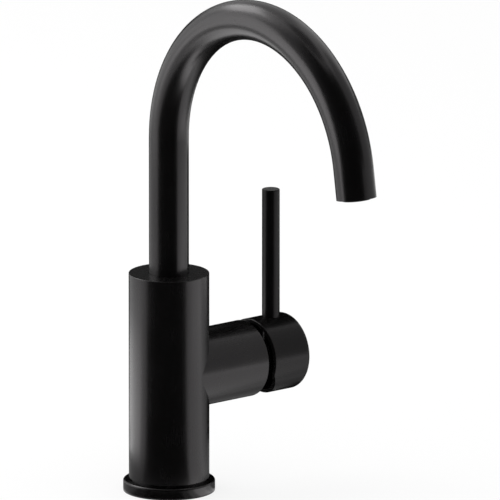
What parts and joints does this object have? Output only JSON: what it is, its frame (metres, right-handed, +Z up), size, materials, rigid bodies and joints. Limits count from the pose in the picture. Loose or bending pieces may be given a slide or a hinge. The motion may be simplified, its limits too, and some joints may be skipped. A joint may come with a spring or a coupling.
{
  "type": "gooseneck bar faucet",
  "caption": "Deck-mounted bar faucet: upright body, high swivelling gooseneck spout and a side lever that tilts for flow and turns for temperature.",
  "frame": {"origin": "centre of the base flange's underside, on the deck", "axes": "+Z up along the column, the spout reaches towards -Y, the valve branch and lever point towards +X"},
  "size_m": [0.1113, 0.2009, 0.3575],
  "materials": {
    "matte_black": "matte black powder coat, satin sheen",
    "black_plastic": "moulded, matte black",
    "brass": "turned brass",
    "steel": "turned stainless steel",
    "rubber": "moulded black rubber",
    "white_plastic": "moulded, natural white",
    "ceramic": "lapped alumina"
  },
  "bodies": {
    "body": {"faucet_body": "matte_black", "base_flange": "matte_black", "base_gasket": "rubber", "mounting_shank": "brass", "rubber_washer": "rubber", "steel_washer": "steel", "mounting_nut": "brass", "thrust_washer": "white_plastic", "spout_bushing": "white_plastic", "spout_lock_screw": "steel", "cartridge_housing": "white_plastic", "cartridge_base": "white_plastic", "port_seals": "rubber", "fixed_disc": "ceramic", "hot_limit_ring": "white_plastic", "cartridge_nut": "brass", "bonnet_dome": "black_plastic"},
    "spout": {"spout_tube": "matte_black", "spout_hub": "brass", "spout_seals": "rubber", "spout_glide_ring": "white_plastic", "outlet_bushing": "brass", "aerator_housing": "black_plastic", "aerator_screen": "black_plastic", "aerator_washer": "rubber"},
    "carrier": {"lever_carrier": "white_plastic", "pivot_pin": "steel"},
    "disc": {"moving_disc": "ceramic", "disc_coupler": "white_plastic"},
    "handle": {"lever_stem": "steel", "handle_cap": "matte_black", "lever_rod": "matte_black", "handle_set_screw": "steel", "screw_cover_plug": "black_plastic"}
  },
  "joints": [
    {"name": "spout_swivel", "type": "hinge", "parent": "body", "child": "spout", "pos_m": [0, 0, 0.12], "axis": [0, 0, 1], "continuous": true},
    {"name": "temperature_turn", "type": "hinge", "parent": "body", "child": "carrier", "pos_m": [0.044, 0, 0.067], "axis": [1, 0, 0], "range_deg": [-45, 45]},
    {"name": "flow_tilt", "type": "hinge", "parent": "carrier", "child": "handle", "pos_m": [0.044, 0, 0.067], "axis": [0, 1, 0], "range_deg": [0, 25]},
    {"name": "disc_slide", "type": "slide", "parent": "carrier", "child": "disc", "axis": [0, 0, 1], "range_m": [0, 0.00402]}
  ],
  "couplings": [
    {"joint": "disc_slide", "follows": "flow_tilt", "m_per_rad": 0.0092014}
  ]
}
